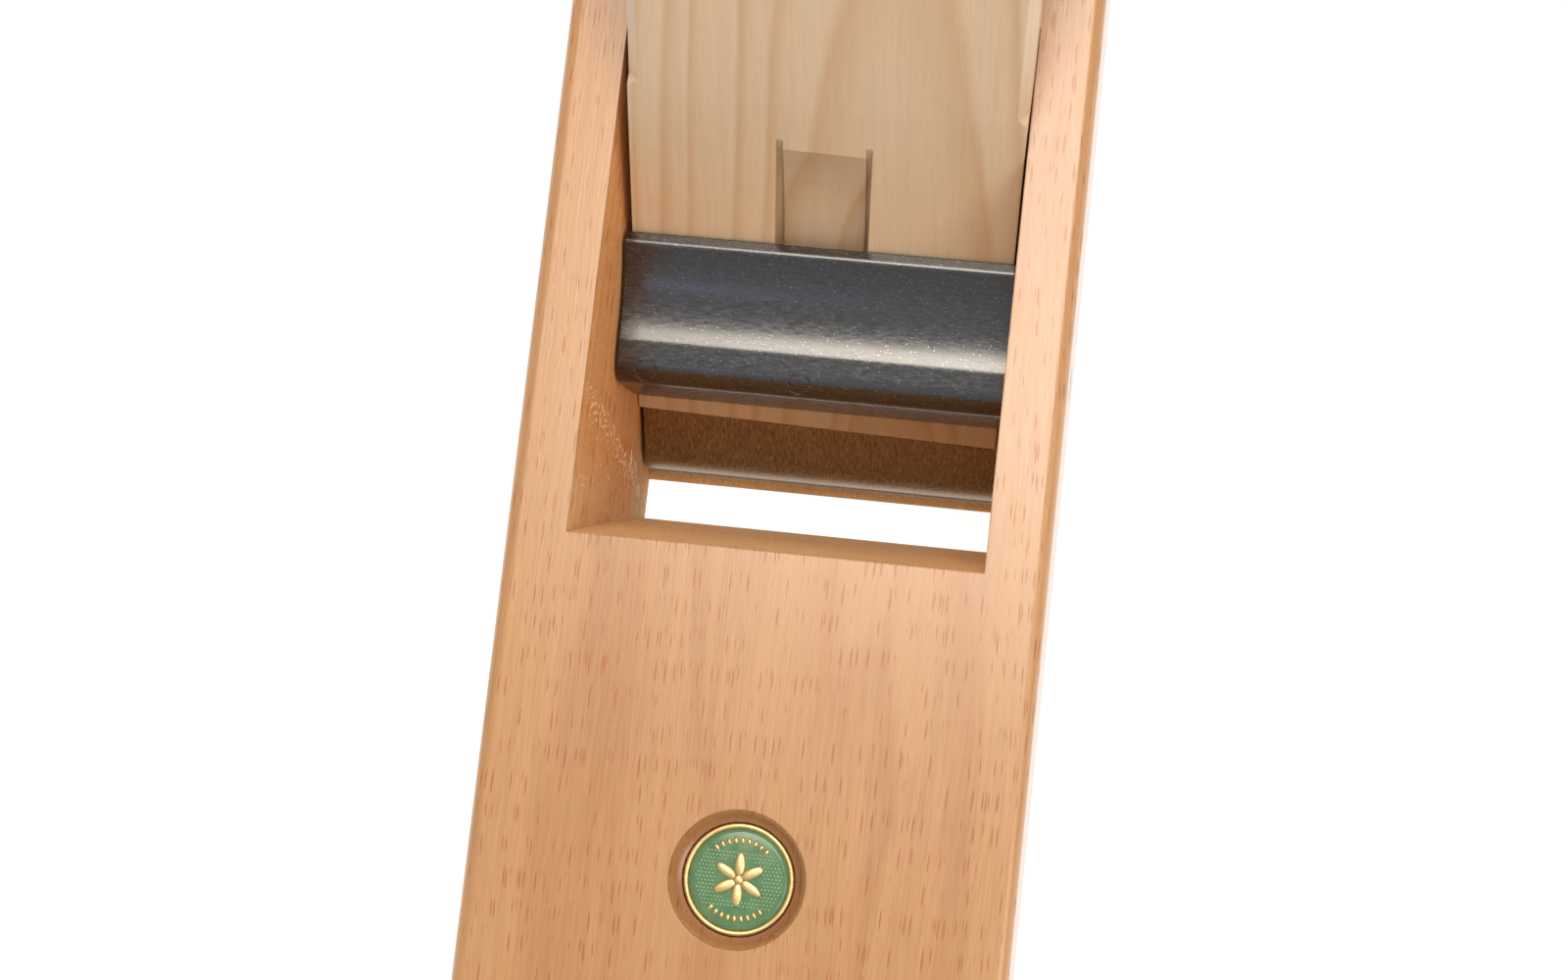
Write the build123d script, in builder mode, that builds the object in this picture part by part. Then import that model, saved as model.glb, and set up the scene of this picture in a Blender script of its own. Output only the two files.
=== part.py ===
from build123d import *
from math import atan, cos, radians, sin, sqrt, tan
import os

os.makedirs("parts", exist_ok=True)

# Wooden jointer plane in millimetres. X points to the toe, Z up from the sole and Y to the side;
# the origin is the middle of the sole. The iron, breaker, wedge and bar are laid out on two
# slopes: the bed, and the steeper upper face of the wedge.

# ---------------------------------------------------------------- stock and sole
body_length = 600.0
body_width = 80.0
body_height = 65.0
sole_thickness = 15.0           # hornbeam sole, glued under the beech stock
edge_round = 2.0                # edges around both sides
side_edge_chamfer = 1.0         # long edges of the sole
toe_round = 4.0                 # upper edge of the toe
heel_round = 14.0               # upper edge of the heel

# ---------------------------------------------------------------- throat
toe_to_throat = 195.0           # toe to the front edge of the throat
throat_run_stock = 7.7          # how far the front wall leans back through the stock
throat_run_sole = 1.6           # and through the sole
mouth_opening = 6.8             # front wall to bed, measured on the sole
bed_angle = 45.0
slide_gap = 0.05                # between flats that slide on each other

# ---------------------------------------------------------------- double iron
iron_width = 60.0
iron_side_play = 0.75           # each side, to the cheeks
iron_length = 185.0
iron_thickness = 3.0
iron_bevel = 25.0
edge_above_foot = 4.3           # cutting edge above the foot of the bed, along the bed
iron_crown = 5.0                # rise of the arched top end
iron_slot_width = 9.0
iron_slot_start = 38.0          # from the cutting edge to the lower end of the slot
iron_slot_length = 80.0
keyhole_diameter = 18.0         # lets the screw head through, at the upper end of the slot

breaker_length = 132.0
breaker_thickness = 2.8
breaker_setback = 0.5           # breaker edge behind the cutting edge
breaker_nose_radius = 9.0
breaker_hollow = 0.4            # relief between the nose and the seat of the screw
breaker_hollow_ramp = 1.6       # length over which the relief comes in
breaker_nose_land = 3.0         # length that bears on the iron behind its edge
breaker_crown = 9.0

screw_above_edge = 55.0         # cap screw above the breaker's edge
screw_diameter = 8.0
screw_running_fit = 0.05        # radial
screw_end_recess = 0.3          # screw end below the breaker's upper face
screw_head_diameter = 16.0
screw_head_height = 4.0
screw_head_chamfer = 0.6
driver_slot_width = 1.8
driver_slot_depth = 1.6
head_groove_play = 1.2          # groove in the bed, around the screw head
head_groove_start = 38.0        # lower end of the groove, along the bed from its foot

# ---------------------------------------------------------------- wedge
wedge_angle = 7.0
wedge_side_play = 1.15          # each side, to the cheeks
wedge_foot = 19.5               # thin end, along the bed from its foot
wedge_foot_thickness = 0.744
wedge_length = 152.9
wedge_skew = 1.7                # it is tapped in slightly askew between the cheeks
wedge_skew_at = 38.9            # from the thin end to the point that it is turned about
wedge_shift = 0.2               # that point off the middle
wedge_facet_at = 64.4           # from the thin end to where the upper face eases off
wedge_facet_angle = 5.6
wedge_chamfer = 1.6
wedge_corner = 14.0             # upper corners, seen from above
wedge_end_round = 3.0
cutter_radius = 60.0            # the groove is plunged with a circular cutter
cutter_depth = 3.3
cutter_at = 36.7                # centre of the plunge, from the thin end
groove_width = 14.4
kerf_width = 0.9                # scoring kerfs along both sides of the groove
kerf_depth = 0.6                # below the groove's floor

# ---------------------------------------------------------------- abutment bar and its pin
bar_gap = 0.45                  # clear of the wedge, so that the bar can rock
bar_end_gap = 0.35              # each end, to the cheeks
pin_along = 20.222              # pin from the thin end of the wedge, along its upper face
pin_rise = 5.9                  # pin axis above that face
pin_diameter = 6.0
pin_running_fit = 0.05          # radial, in the bar
pin_end_recess = 0.3            # pin ends below the cheeks
pin_chamfer = 0.5
bar_rear_reach = 18.6           # from the pin to the rear lip, along the underside
bar_lip_width = 1.7             # rear lip, from its lower edge to the crest
bar_lip_height = 0.7
bar_scoop = 1.45                # depth of the hollow behind the ridge
bar_front_reach = 6.7           # from the pin forward to the nose
bar_top_height = 6.0            # from the pin up to the nose, before it is rounded
bar_ridge_ahead = 0.4           # from the pin forward to the ridge
bar_ridge_height = 7.25
bar_crest_round = 0.9
bar_ridge_round = 3.0
bar_nose_round = 4.0
bar_toe_round = 0.8
bar_toe_back = 0.9              # the front face leans back by this towards its lower edge
bar_edge_chamfer = 0.3

# ---------------------------------------------------------------- badge
badge_to_throat = 47.4          # centre ahead of the throat
badge_diameter = 16.3
badge_thickness = 1.5
badge_play = 0.1                # radial, in its pocket
badge_depth = 2.2               # rim of the badge below the top
recess_diameter = 20.0
recess_wall_in = 0.45           # middle of the recess's hollow wall, in from its rim
recess_wall_down = 1.2          # and below the top
rim_width = 0.9
enamel_thickness = 0.6
enamel_dome = 0.25
enamel_inset = 0.05             # enamel below the rim at its edge

# ---------------------------------------------------------------- strike button
button_to_toe = 62.0
button_diameter = 30.0
button_height = 7.0
button_dome = 3.0
button_edge_round = 1.5
shank_diameter = 18.0
shank_length = 24.0

# ---------------------------------------------------------------- tote (closed handle)
tote_thickness = 27.0
tote_length = 140.0             # along the top of the stock
tote_height = 98.0
tote_behind_bed = 62.0          # its front end behind the upper end of the bed
tote_edge_round = 8.0
tote_hole_round = 6.0
tote_tenon = 12.0               # depth let into the stock
tenon_thickness = 16.0
tenon_shoulder = 14.0           # from each end of the tote to the tenon
tenon_round = 7.0

# ================================================================ worked out
stock_height = body_height - sole_thickness
half_length = body_length / 2
throat_width = iron_width + 2 * iron_side_play
throat_front = half_length - toe_to_throat
front_at_joint = throat_front - throat_run_stock
front_at_sole = front_at_joint - throat_run_sole
bed_foot = front_at_sole - mouth_opening
bed_run = body_height / tan(radians(bed_angle))
bed_cos = cos(radians(bed_angle))
bed_sin = sin(radians(bed_angle))

up_bed = Vector(-bed_cos, 0, bed_sin)
off_bed = Vector(bed_sin, 0, bed_cos)
bed_plane = Plane(origin=(bed_foot, 0, 0), x_dir=up_bed, z_dir=off_bed)
bed_section = Plane(origin=(bed_foot, 0, 0), x_dir=up_bed, z_dir=(0, 1, 0))

iron_under = slide_gap
iron_face = iron_under + iron_thickness
breaker_under = iron_face + slide_gap
breaker_face = breaker_under + breaker_thickness
breaker_edge = edge_above_foot + breaker_setback
screw_at = breaker_edge + screw_above_edge
wedge_under = breaker_face + slide_gap
wedge_width = throat_width - 2 * wedge_side_play


# ================================================================ stock
# full-width throat: upright front wall, bed behind it, mouth at the bottom
with BuildSketch(Plane.XZ) as throat_section:
    Polygon(
        (throat_front, body_height),
        (front_at_joint, sole_thickness),
        (front_at_sole, 0),
        (bed_foot, 0),
        (bed_foot - bed_run, body_height),
        align=None,
    )

pin_slope = radians(bed_angle + wedge_angle)
up_wedge = Vector(-cos(pin_slope), 0, sin(pin_slope))
off_wedge = Vector(sin(pin_slope), 0, cos(pin_slope))
wedge_tip = bed_section.from_local_coords((wedge_foot, wedge_under + wedge_foot_thickness, 0))
pin_centre = wedge_tip + up_wedge * pin_along + off_wedge * pin_rise
pin_plane = Plane(origin=pin_centre, x_dir=(1, 0, 0), z_dir=(0, -1, 0))

badge_x = throat_front + badge_to_throat
badge_seat = body_height - badge_depth - badge_thickness
badge_plane = Plane(origin=(badge_x, 0, body_height), x_dir=(1, 0, 0), z_dir=(0, -1, 0))
pocket_radius = badge_diameter / 2 + badge_play
recess_radius = recess_diameter / 2

button_x = half_length - button_to_toe
tote_front = bed_foot - bed_run - tote_behind_bed
tote_rear = tote_front - tote_length
tote_middle = (tote_front + tote_rear) / 2
tenon_length = tote_length - 2 * tenon_shoulder

with BuildPart() as stock:
    with BuildSketch(Plane.XZ) as side_view:
        with Locations((0, sole_thickness + stock_height / 2)):
            Rectangle(body_length, stock_height)
        fillet(side_view.vertices().group_by(Axis.Y)[-1].sort_by(Axis.X)[0], heel_round)
        fillet(side_view.vertices().group_by(Axis.Y)[-1].sort_by(Axis.X)[-1], toe_round)
    extrude(amount=body_width / 2, both=True)
    sides = stock.faces().sort_by(Axis.Y)
    outline = sides[0].edges() + sides[-1].edges()
    joint = stock.edges().group_by(Axis.Z)[0]
    fillet([edge for edge in outline if edge not in joint], edge_round)
    extrude(throat_section.sketch, amount=throat_width / 2, both=True, mode=Mode.SUBTRACT)
    # groove in the bed for the head of the cap screw, open at the top
    groove_half = screw_head_diameter / 2 + head_groove_play
    groove_length = 2 * body_height
    with BuildSketch(bed_plane):
        with Locations((head_groove_start + groove_half, 0)):
            Circle(groove_half)
        with Locations((head_groove_start + groove_half + groove_length / 2, 0)):
            Rectangle(groove_length, 2 * groove_half)
    extrude(amount=-(screw_head_height + head_groove_play), mode=Mode.SUBTRACT)
    # bore of the abutment pin through both cheeks
    with BuildSketch(pin_plane):
        Circle(pin_diameter / 2)
    extrude(amount=body_width, both=True, mode=Mode.SUBTRACT)
    # dished recess and pocket of the badge
    with BuildSketch(badge_plane):
        with BuildLine():
            rim = Line((0, 0), (recess_radius, 0))
            dish = ThreePointArc(
                rim @ 1,
                (recess_radius - recess_wall_in, -recess_wall_down),
                (pocket_radius, -badge_depth),
            )
            Polyline(dish @ 1, (pocket_radius, badge_seat - body_height),
                     (0, badge_seat - body_height), rim @ 0)
        make_face()
    revolve(axis=Axis((badge_x, 0, 0), (0, 0, 1)), mode=Mode.SUBTRACT)
    # socket of the strike button and mortise of the tote
    with BuildSketch(Plane.XY.offset(body_height)):
        with Locations((button_x, 0)):
            Circle(shank_diameter / 2)
    extrude(amount=-shank_length, mode=Mode.SUBTRACT)
    with BuildSketch(Plane.XY.offset(body_height)):
        with Locations((tote_middle, 0)):
            RectangleRounded(tenon_length, tenon_thickness, tenon_round)
    extrude(amount=-tote_tenon, mode=Mode.SUBTRACT)
stock.part.label = "stock"
export_step(stock.part, "parts/stock.step")

# ================================================================ sole
with BuildPart() as sole:
    with BuildSketch():
        RectangleRounded(body_length, body_width, edge_round)
    extrude(amount=sole_thickness)
    chamfer(sole.edges().filter_by(Axis.X).group_by(Axis.Z)[0], side_edge_chamfer)
    extrude(throat_section.sketch, amount=throat_width / 2, both=True, mode=Mode.SUBTRACT)
sole.part.label = "sole"
export_step(sole.part, "parts/sole.step")


# ================================================================ double iron
def arched_blade(plane, start, length, crown):
    """Outline of a blade lying on a plane: square at its edge, arched at its top end."""
    top = start + length
    with BuildSketch(plane) as outline:
        with BuildLine():
            sides = Polyline((top - crown, iron_width / 2), (start, iron_width / 2),
                             (start, -iron_width / 2), (top - crown, -iron_width / 2))
            ThreePointArc(sides @ 0, (top, 0), sides @ 1)
        make_face()
    return outline.sketch


with BuildPart() as cutting_iron:
    extrude(arched_blade(bed_plane.offset(iron_under), edge_above_foot, iron_length, iron_crown),
            amount=iron_thickness)
    slot_low = edge_above_foot + iron_slot_start
    slot_high = slot_low + iron_slot_length
    with BuildSketch(bed_plane.offset(iron_under)):
        with Locations(((slot_low + slot_high) / 2, 0)):
            SlotOverall(iron_slot_length, iron_slot_width)
        with Locations((slot_high, 0)):
            Circle(keyhole_diameter / 2)
    extrude(amount=iron_thickness, mode=Mode.SUBTRACT)
    # bevel, on the side that faces the bed
    with BuildSketch(bed_section):
        Polygon(
            (edge_above_foot, iron_face),
            (edge_above_foot, iron_under),
            (edge_above_foot + iron_thickness / tan(radians(iron_bevel)), iron_under),
            align=None,
        )
    extrude(amount=iron_width, both=True, mode=Mode.SUBTRACT)
cutting_iron.part.label = "cutting_iron"
export_step(cutting_iron.part, "parts/cutting_iron.step")

with BuildPart() as chip_breaker:
    nose_length = sqrt(2 * breaker_nose_radius * breaker_thickness - breaker_thickness**2)
    hollow_start = breaker_edge + breaker_nose_land
    seat_start = screw_at - screw_head_diameter / 2
    breaker_top = breaker_edge + breaker_length
    nose_centre = (breaker_edge + nose_length, breaker_face - breaker_nose_radius)
    nose_middle = atan(nose_length / (breaker_nose_radius - breaker_thickness)) / 2
    with BuildSketch(bed_section):
        with BuildLine():
            under = Polyline(
                (breaker_edge, breaker_under),
                (hollow_start, breaker_under),
                (hollow_start + breaker_hollow_ramp, breaker_under + breaker_hollow),
                (seat_start - breaker_hollow_ramp, breaker_under + breaker_hollow),
                (seat_start, breaker_under),
                (breaker_top, breaker_under),
                (breaker_top, breaker_face),
                (breaker_edge + nose_length, breaker_face),
            )
            ThreePointArc(
                under @ 1,
                (nose_centre[0] - breaker_nose_radius * sin(nose_middle),
                 nose_centre[1] + breaker_nose_radius * cos(nose_middle)),
                under @ 0,
            )
        make_face()
    extrude(amount=iron_width / 2, both=True)
    extrude(arched_blade(bed_plane, breaker_edge, breaker_length, breaker_crown),
            amount=2 * breaker_face, mode=Mode.INTERSECT)
    with BuildSketch(bed_plane):
        with Locations((screw_at, 0)):
            Circle(screw_diameter / 2 + screw_running_fit)
    extrude(amount=2 * breaker_face, mode=Mode.SUBTRACT)
chip_breaker.part.label = "chip_breaker"
export_step(chip_breaker.part, "parts/chip_breaker.step")

with BuildPart() as cap_screw:
    head_top = iron_under - slide_gap
    with BuildSketch(bed_plane.offset(head_top)):
        with Locations((screw_at, 0)):
            Circle(screw_head_diameter / 2)
    extrude(amount=-screw_head_height)
    chamfer(cap_screw.edges().sort_by(Axis((bed_foot, 0, 0), off_bed))[0], screw_head_chamfer)
    with BuildSketch(bed_plane.offset(head_top)):
        with Locations((screw_at, 0)):
            Circle(screw_diameter / 2)
    extrude(amount=breaker_face - screw_end_recess - head_top)
    with BuildSketch(bed_plane.offset(head_top - screw_head_height)):
        with Locations((screw_at, 0)):
            Rectangle(driver_slot_width, 2 * screw_head_diameter)
    extrude(amount=driver_slot_depth, mode=Mode.SUBTRACT)
cap_screw.part.label = "cap_screw"
export_step(cap_screw.part, "parts/cap_screw.step")

# ================================================================ wedge
# It lies on the breaker, turned a little about the slope's normal, so it has its own planes.
skew = radians(wedge_skew)
wedge_along = up_bed * cos(skew) + Vector(0, 1, 0) * sin(skew)
wedge_across = Vector(0, 1, 0) * cos(skew) - up_bed * sin(skew)
turning_point = bed_section.from_local_coords(
    (wedge_foot + wedge_skew_at, wedge_under, wedge_shift))
wedge_origin = turning_point - wedge_along * wedge_skew_at
wedge_section = Plane(origin=wedge_origin, x_dir=wedge_along, z_dir=wedge_across)
wedge_plan = Plane(origin=wedge_origin, x_dir=wedge_along, z_dir=off_bed)

rise = tan(radians(wedge_angle))
facet_rise = tan(radians(wedge_facet_angle))
facet_thickness = wedge_foot_thickness + wedge_facet_at * rise
wedge_head = facet_thickness + (wedge_length - wedge_facet_at) * facet_rise

with BuildPart() as wedge:
    with BuildSketch(wedge_section) as wedge_profile:
        Polygon(
            (0, 0),
            (wedge_length, 0),
            (wedge_length, wedge_head),
            (wedge_facet_at, facet_thickness),
            (0, wedge_foot_thickness),
            align=None,
        )
        fillet(wedge_profile.vertices().group_by(Axis.X)[-1], wedge_end_round)
    extrude(amount=wedge_width / 2, both=True)
    with BuildSketch(wedge_plan):
        with Locations((wedge_length / 2, 0)):
            RectangleRounded(wedge_length, wedge_width, wedge_corner)
        with Locations((wedge_length / 4, 0)):
            Rectangle(wedge_length / 2, wedge_width)
    extrude(amount=2 * wedge_head, mode=Mode.INTERSECT)
    # stopped chamfers on the two long edges of the part that stands out of the throat
    facet_slope = radians(wedge_facet_angle)
    facet_along = wedge_along * cos(facet_slope) + off_bed * sin(facet_slope)
    facet_normal = off_bed * cos(facet_slope) - wedge_along * sin(facet_slope)
    facet_start = wedge_origin + wedge_along * wedge_facet_at + off_bed * facet_thickness
    for side in (-1, 1):
        edge_start = facet_start + wedge_across * (side * wedge_width / 2)
        chamfer_normal = (facet_normal + wedge_across * side) * (1 / sqrt(2))
        chamfer_plane = Plane(
            origin=edge_start - chamfer_normal * (wedge_chamfer / sqrt(2)),
            x_dir=facet_along,
            z_dir=chamfer_normal,
        )
        with BuildSketch(chamfer_plane):
            with Locations((wedge_length / 2 + wedge_chamfer, 0)):
                Rectangle(wedge_length, wedge_chamfer * sqrt(2))
        extrude(amount=2 * wedge_chamfer, taper=-45, mode=Mode.SUBTRACT)
    # plunged groove with a scoring kerf along each side
    cut_at = wedge_foot_thickness + cutter_at * rise
    for radius, half_width, inner in (
        (cutter_radius, groove_width / 2, 0),
        (cutter_radius + kerf_depth, groove_width / 2, groove_width / 2 - kerf_width),
    ):
        centre = (
            cutter_at - sin(radians(wedge_angle)) * (cutter_radius - cutter_depth),
            cut_at + cos(radians(wedge_angle)) * (cutter_radius - cutter_depth),
        )
        for side in (-1, 1):
            with BuildSketch(wedge_section.offset(side * inner)):
                with Locations(centre):
                    Circle(radius)
            extrude(amount=side * (half_width - inner), mode=Mode.SUBTRACT)
wedge.part.label = "wedge"
export_step(wedge.part, "parts/wedge.step")

# ================================================================ abutment bar
bar_length = throat_width - 2 * bar_end_gap
bar_under = pin_rise - bar_gap


def from_pin(along, above):
    """A point of the bar's section, from the pin, on axes laid along the wedge's upper face."""
    x = -cos(pin_slope) * along + sin(pin_slope) * above
    z = sin(pin_slope) * along + cos(pin_slope) * above
    return (x, z)


with BuildPart() as abutment_bar:
    front_low_x = bar_front_reach - bar_toe_back
    front_low_z = (-bar_under - sin(pin_slope) * front_low_x) / cos(pin_slope)
    lip_low = from_pin(bar_rear_reach, -bar_under)
    crest = (lip_low[0] + bar_lip_width, lip_low[1] + bar_lip_height)
    ridge = (bar_ridge_ahead, bar_ridge_height)
    scoop_middle = ((crest[0] + ridge[0]) / 2, (crest[1] + ridge[1]) / 2 - bar_scoop)
    with BuildSketch(pin_plane) as bar_profile:
        with BuildLine():
            back = Polyline((front_low_x, front_low_z), lip_low, crest)
            scoop = ThreePointArc(back @ 1, scoop_middle, ridge)
            Polyline(scoop @ 1, (bar_front_reach, bar_top_height), back @ 0)
        make_face()
        for corner, radius in (
            ((front_low_x, front_low_z), bar_toe_round),
            ((bar_front_reach, bar_top_height), bar_nose_round),
            (ridge, bar_ridge_round),
            (crest, bar_crest_round),
        ):
            fillet(bar_profile.vertices().sort_by_distance(corner)[0], radius)
    extrude(amount=bar_length / 2, both=True)
    with BuildSketch(pin_plane):
        Circle(pin_diameter / 2 + pin_running_fit)
    extrude(amount=bar_length, both=True, mode=Mode.SUBTRACT)
    bar_ends = abutment_bar.faces().sort_by(Axis.Y)
    end_edges = bar_ends[0].edges() + bar_ends[-1].edges()
    chamfer([edge for edge in end_edges if edge.length > 2 * bar_edge_chamfer and not (
        edge.geom_type == GeomType.CIRCLE and edge.is_closed)], bar_edge_chamfer)
abutment_bar.part.label = "abutment_bar"
export_step(abutment_bar.part, "parts/abutment_bar.step")

with BuildPart() as abutment_pin:
    with BuildSketch(pin_plane):
        Circle(pin_diameter / 2)
    extrude(amount=body_width / 2 - pin_end_recess, both=True)
    chamfer(abutment_pin.edges().filter_by(GeomType.CIRCLE), pin_chamfer)
abutment_pin.part.label = "abutment_pin"
export_step(abutment_pin.part, "parts/abutment_pin.step")

# ================================================================ badge
# A pressed brass dish with green enamel inside its rim.
badge_radius = badge_diameter / 2
enamel_radius = badge_radius - rim_width
enamel_floor = badge_thickness - enamel_thickness
badge_base = Plane(origin=(badge_x, 0, badge_seat), x_dir=(1, 0, 0), z_dir=(0, -1, 0))
badge_axis = Axis((badge_x, 0, 0), (0, 0, 1))

with BuildPart() as badge_dish:
    with BuildSketch(badge_base):
        with BuildLine():
            base = Polyline((enamel_radius, enamel_floor), (0, enamel_floor), (0, 0),
                            (badge_radius, 0), (badge_radius, badge_thickness - rim_width / 2))
            crown = ThreePointArc(
                base @ 1,
                (badge_radius - rim_width / 2, badge_thickness),
                (enamel_radius, badge_thickness - rim_width / 2),
            )
            Line(crown @ 1, base @ 0)
        make_face()
    revolve(axis=badge_axis)
badge_dish.part.label = "badge_dish"
export_step(badge_dish.part, "parts/badge_dish.step")

with BuildPart() as badge_enamel:
    enamel_edge = badge_thickness - rim_width / 2 - enamel_inset
    with BuildSketch(badge_base):
        with BuildLine():
            base = Polyline((0, enamel_edge + enamel_dome), (0, enamel_floor),
                            (enamel_radius, enamel_floor), (enamel_radius, enamel_edge))
            TangentArc(base @ 0, base @ 1, tangent=(1, 0))
        make_face()
    revolve(axis=badge_axis)
badge_enamel.part.label = "badge_enamel"
export_step(badge_enamel.part, "parts/badge_enamel.step")

# ================================================================ strike button
with BuildPart() as strike_button:
    button_base = Plane(origin=(button_x, 0, body_height), x_dir=(1, 0, 0), z_dir=(0, -1, 0))
    button_radius = button_diameter / 2
    button_side = button_height - button_dome
    with BuildSketch(button_base) as button_profile:
        with BuildLine():
            base = Polyline((0, button_height), (0, -shank_length),
                            (shank_diameter / 2, -shank_length), (shank_diameter / 2, 0),
                            (button_radius, 0), (button_radius, button_side))
            TangentArc(base @ 0, base @ 1, tangent=(1, 0))
        make_face()
        fillet(button_profile.vertices().sort_by_distance((button_radius, button_side))[0],
               button_edge_round)
    revolve(axis=Axis((button_x, 0, 0), (0, 0, 1)))
strike_button.part.label = "strike_button"
export_step(strike_button.part, "parts/strike_button.step")

# ================================================================ tote
# Closed handle: a leaning grip with a spur over the hand, and a front post that closes the loop.
# Its outline is drawn from its rear foot, up the grip, over the spur and down the post.
tote_plane = Plane(origin=(tote_rear, 0, body_height), x_dir=(1, 0, 0), z_dir=(0, -1, 0))
grip_foot = (6, 0)
grip_heel = (9, 16)
grip_waist = (21, 44)
grip_web = (18, 72)
spur_tip = (8, tote_height - 12)
spur_top = (19, tote_height)
brow = (52, tote_height - 7)
shoulder = (84, 68)
post_waist = (108, 38)
post_foot = (tote_length, 0)
heel_rise = (-0.05, 1)          # directions of the outline at the foot, at the spur and at the post
spur_lean = (-0.75, 1)
post_fall = (0.6, -1)
hand_hole = ((43, 20), (48, 43), (46, 61), (56, 70), (70, 59), (83, 39), (88, 22), (78, 12), (57, 11))

with BuildPart() as tote:
    with BuildSketch(tote_plane):
        with BuildLine():
            back = Spline(grip_foot, grip_heel, grip_waist, grip_web, spur_tip,
                          tangents=(heel_rise, spur_lean))
            tip = TangentArc(back @ 1, spur_top, tangent=back % 1)
            front = Spline(tip @ 1, brow, shoulder, post_waist, post_foot,
                           tangents=(tip % 1, post_fall))
            Line(front @ 1, back @ 0)
        make_face()
        with BuildLine():
            Spline(*hand_hole, periodic=True)
        make_face(mode=Mode.SUBTRACT)
    extrude(amount=tote_thickness / 2, both=True)
    cheeks = tote.faces().sort_by(Axis.Y)
    base = tote.edges().group_by(Axis.Z)[0]
    rims = [edge for cheek in (cheeks[0], cheeks[-1]) for edge in cheek.outer_wire().edges()]
    fillet([edge for edge in rims if edge not in base], tote_edge_round)
    cheeks = tote.faces().filter_by(Axis.Y).sort_by(Axis.Y)
    fillet([edge for cheek in (cheeks[0], cheeks[-1]) for edge in cheek.inner_wires()[0].edges()],
           tote_hole_round)
    with BuildSketch(Plane.XY.offset(body_height)):
        with Locations((tote_middle, 0)):
            RectangleRounded(tenon_length, tenon_thickness, tenon_round)
    extrude(amount=-tote_tenon)
tote.part.label = "tote"
export_step(tote.part, "parts/tote.step")
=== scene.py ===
from math import cos, pi, radians, sin

import bmesh
import bpy
from mathutils import Matrix, Vector


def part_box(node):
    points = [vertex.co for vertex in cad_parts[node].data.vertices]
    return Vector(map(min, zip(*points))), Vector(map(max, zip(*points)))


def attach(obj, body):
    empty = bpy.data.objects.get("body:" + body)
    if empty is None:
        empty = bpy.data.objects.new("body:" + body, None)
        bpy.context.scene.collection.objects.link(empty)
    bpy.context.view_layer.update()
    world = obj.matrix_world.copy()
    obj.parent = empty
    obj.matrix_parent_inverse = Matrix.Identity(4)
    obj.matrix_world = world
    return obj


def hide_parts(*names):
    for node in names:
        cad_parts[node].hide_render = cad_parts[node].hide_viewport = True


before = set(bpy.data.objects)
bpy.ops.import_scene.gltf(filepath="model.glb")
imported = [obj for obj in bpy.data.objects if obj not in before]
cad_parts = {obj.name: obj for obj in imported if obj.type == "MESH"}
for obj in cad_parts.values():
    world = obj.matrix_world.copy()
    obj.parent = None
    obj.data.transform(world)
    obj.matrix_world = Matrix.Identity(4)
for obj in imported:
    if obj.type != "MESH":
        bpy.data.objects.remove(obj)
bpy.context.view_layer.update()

# ------------------------------------------------------------------------------------------
# Stock. One billet of steamed red beech, planed, oiled and waxed, with the throat sawn and
# chiselled out of it. Its rays show as thin dark ticks on top, where they are cut end on,
# and as wider flecks on the sides.
# ------------------------------------------------------------------------------------------
MM = 0.001
# the throat, as a box round the middle of its foot
throat_middle = (50 * MM, 0, 0)
throat_reach = (56 * MM, 31.2 * MM, 64.7 * MM)
# the round recess that the badge sits in
recess_middle = (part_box("badge_dish")[0][0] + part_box("badge_dish")[1][0]) / 2
# a thin coat of wax over the oil gives the planed faces a soft sheen
wax = 0.5


def linear(hex_colour):
    """An sRGB hex colour as linear red, green, blue and alpha."""
    values = [int(hex_colour[i:i + 2], 16) / 255 for i in (1, 3, 5)]
    return [v / 12.92 if v <= 0.04045 else ((v + 0.055) / 1.055) ** 2.4 for v in values] + [1.0]


def add(tree, kind, inputs=None, **settings):
    """Adds one node, with its settings, and each input set to a value or linked to a socket."""
    node = tree.nodes.new(kind)
    for name, value in settings.items():
        setattr(node, name, value)
    for key, value in (inputs or {}).items():
        if isinstance(value, bpy.types.NodeSocket):
            tree.links.new(value, node.inputs[key])
        else:
            node.inputs[key].default_value = value
    return node


def new_finish(name):
    """An empty material with its shader, ready for a finish."""
    material = bpy.data.materials.new(name)
    material.use_nodes = True
    tree = material.node_tree
    return material, tree, tree.nodes["Principled BSDF"]


def grown_noise(tree, across, along, detail, source):
    """Noise with features of that width across the grain and that length along it."""
    scale = (1 / along, 1 / across, 1 / across)
    stretched = add(tree, "ShaderNodeMapping", {"Vector": source, "Scale": scale}).outputs[0]
    return add(tree, "ShaderNodeTexNoise", {"Vector": stretched, "Scale": 1.0, "Detail": detail})


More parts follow.
